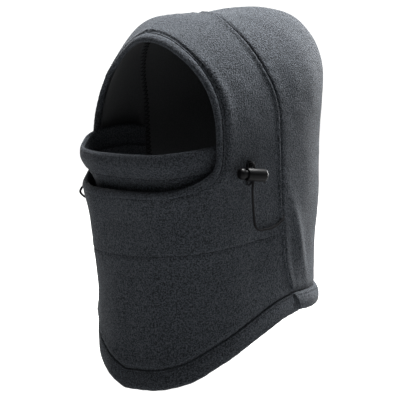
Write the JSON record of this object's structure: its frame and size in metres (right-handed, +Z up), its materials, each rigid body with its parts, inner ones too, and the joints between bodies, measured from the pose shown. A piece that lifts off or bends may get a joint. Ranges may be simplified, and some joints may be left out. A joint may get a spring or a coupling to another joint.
{
  "type": "ski balaclava",
  "caption": "Fleece hood with a face opening, a pull-down face mask, a turned neck hem and an elastic drawcord with a spring lock on each side.",
  "frame": {"origin": "inside of the crown, over the line of the side seams, where the wearer's head carries the hood", "axes": "+Z up, the face opening looks along -Y, +X to the wearer's left"},
  "size_m": [0.2093, 0.2424, 0.3455],
  "materials": {
    "outer_fleece": "short napped polar fleece, charcoal grey",
    "mask_fleece": "short napped polar fleece, charcoal grey",
    "edge_binding": "rolled fleece edge",
    "inner_jersey": "smooth brushed knit, near black",
    "seam_thread": "matt sewing thread",
    "elastic_cord": "tight braided elastic cord, black",
    "lock_plastic": "moulded, glossy black",
    "spring_steel": "bright spring wire"
  },
  "bodies": {
    "hood": {"front_panel": "outer_fleece", "back_panel": "outer_fleece", "front_lining": "inner_jersey", "back_lining": "inner_jersey", "front_hem": "outer_fleece", "back_hem": "outer_fleece", "face_opening_binding": "edge_binding", "drawcord_channel": "inner_jersey", "left_seam_overlock": "seam_thread", "right_seam_overlock": "seam_thread", "left_buttonhole": "seam_thread", "right_buttonhole": "seam_thread", "lip_cord": "elastic_cord", "left_cord_loop": "elastic_cord", "right_cord_loop": "elastic_cord"},
    "mask": {"face_mask": "mask_fleece"},
    "left_lock": {"left_lock_barrel": "lock_plastic", "left_lock_spring": "spring_steel"},
    "left_button": {"left_lock_plunger": "lock_plastic"},
    "right_lock": {"right_lock_barrel": "lock_plastic", "right_lock_spring": "spring_steel"},
    "right_button": {"right_lock_plunger": "lock_plastic"}
  },
  "joints": [
    {"name": "mask_pull_down", "type": "hinge", "parent": "hood", "child": "mask", "pos_m": [0, -0.008, -0.11], "axis": [1, 0, 0], "range_deg": [0, 24], "deforming": ["face_mask"]},
    {"name": "left_lock_slide", "type": "slide", "parent": "hood", "child": "left_lock", "axis": [-0.0299, -0.0902, -0.9955], "range_m": [0, 0.006]},
    {"name": "left_button_press", "type": "slide", "parent": "left_lock", "child": "left_button", "axis": [0.313, 0.945, -0.095], "range_m": [0, 0.0025], "stiffness_N_per_m": 1500, "springref_m": -0.003, "deforming": ["left_lock_spring"]},
    {"name": "right_lock_slide", "type": "slide", "parent": "hood", "child": "right_lock", "axis": [0.0299, -0.0902, -0.9955], "range_m": [0, 0.006]},
    {"name": "right_button_press", "type": "slide", "parent": "right_lock", "child": "right_button", "axis": [-0.313, 0.945, -0.095], "range_m": [0, 0.0025], "stiffness_N_per_m": 1500, "springref_m": -0.003, "deforming": ["right_lock_spring"]}
  ]
}
